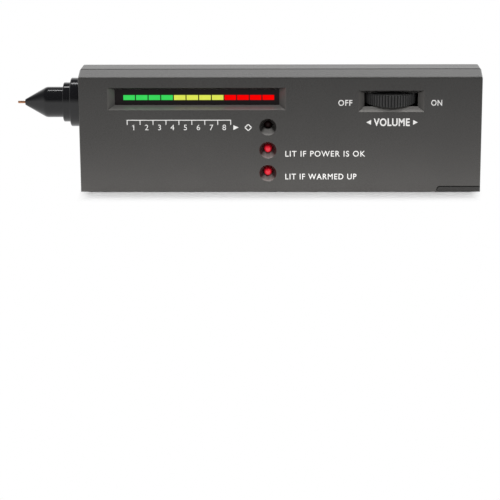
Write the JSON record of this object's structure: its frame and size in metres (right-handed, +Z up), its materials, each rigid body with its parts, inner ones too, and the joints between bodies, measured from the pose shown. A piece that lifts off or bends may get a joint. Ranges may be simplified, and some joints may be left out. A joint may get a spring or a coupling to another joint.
{
  "type": "diamond tester",
  "caption": "Hand-held thermal diamond tester: flat box with a sprung conical probe, light bar, lamps, thumb dial, touch plate and battery door.",
  "frame": {"origin": "middle of the case's bottom, on the front shell just before the parting line", "axes": "+X along the case away from the probe, +Y from the front face to the back face, +Z up"},
  "size_m": [0.1764, 0.0234, 0.0452],
  "materials": {
    "case_plastic": "fine moulded texture",
    "probe_plastic": "polished",
    "dial_plastic": "satin",
    "tip_copper": "drawn copper",
    "touch_steel": "long brushed grain",
    "screw_steel": "plated",
    "contact_brass": "bright",
    "buzzer_brass": "rolled",
    "ceramic_white": "silvered",
    "black_plastic": "moulded",
    "bar_green": "lit diffuser",
    "bar_yellow": "lit diffuser",
    "bar_red": "lit diffuser",
    "lamp_red": "clear red dome",
    "lamp_smoke": "smoked dome, unlit",
    "board_laminate": "solder mask",
    "capacitor_sleeve": "shrink sleeve",
    "resistor_coat": "lacquer",
    "foam": "closed foam",
    "battery_jacket": "painted sleeve",
    "wire_red": "insulation",
    "wire_black": "insulation",
    "wire_grey": "insulation",
    "rotor_nylon": "nylon",
    "holder_ceramic": "fired",
    "spring_steel": "wire"
  },
  "bodies": {
    "case": {"back_shell": "case_plastic", "bargraph_green": "bar_green", "bargraph_housing": "black_plastic", "bargraph_red": "bar_red", "bargraph_yellow": "bar_yellow", "battery": "battery_jacket", "battery_lamp": "lamp_red", "battery_lead_black": "wire_black", "battery_lead_red": "wire_red", "battery_snap": "black_plastic", "battery_terminals": "contact_brass", "board_screws": "screw_steel", "buzzer_ceramic": "ceramic_white", "buzzer_disc": "buzzer_brass", "buzzer_leads": "wire_grey", "buzzer_ring": "foam", "capacitors": "capacitor_sleeve", "case_screws": "screw_steel", "dial_board": "board_laminate", "dial_leads": "wire_grey", "dial_pot": "black_plastic", "driver_chips": "black_plastic", "front_shell": "case_plastic", "lamp_leads": "contact_brass", "main_board": "board_laminate", "probe_flange": "probe_plastic", "probe_lock_nut": "black_plastic", "probe_nose": "probe_plastic", "probe_ring": "probe_plastic", "ready_lamp": "lamp_red", "resistors": "resistor_coat", "result_lamp": "lamp_smoke", "sensor_leads": "wire_grey", "tip_sensor_holder": "holder_ceramic", "tip_spring": "spring_steel", "touch_contact": "contact_brass", "touch_plate": "touch_steel"},
    "dial": {"volume_dial": "dial_plastic", "dial_rotor": "rotor_nylon", "dial_screw": "screw_steel"},
    "door": {"battery_door": "case_plastic", "battery_pad": "foam"},
    "tip": {"probe_tip": "tip_copper"}
  },
  "joints": [
    {"name": "dial_turn", "type": "hinge", "parent": "case", "child": "dial", "pos_m": [0.04185, -0.0025, 0.03545], "axis": [0, 0, 1], "range_deg": [-90, 190]},
    {"name": "door_slide", "type": "slide", "parent": "case", "child": "door", "axis": [1, 0, 0], "range_m": [0, 0.02]},
    {"name": "tip_press", "type": "slide", "parent": "case", "child": "tip", "axis": [1, 0, 0], "range_m": [0, 0.0012], "stiffness_N_per_m": 400, "springref_m": -0.0012, "deforming": ["tip_spring"]}
  ]
}
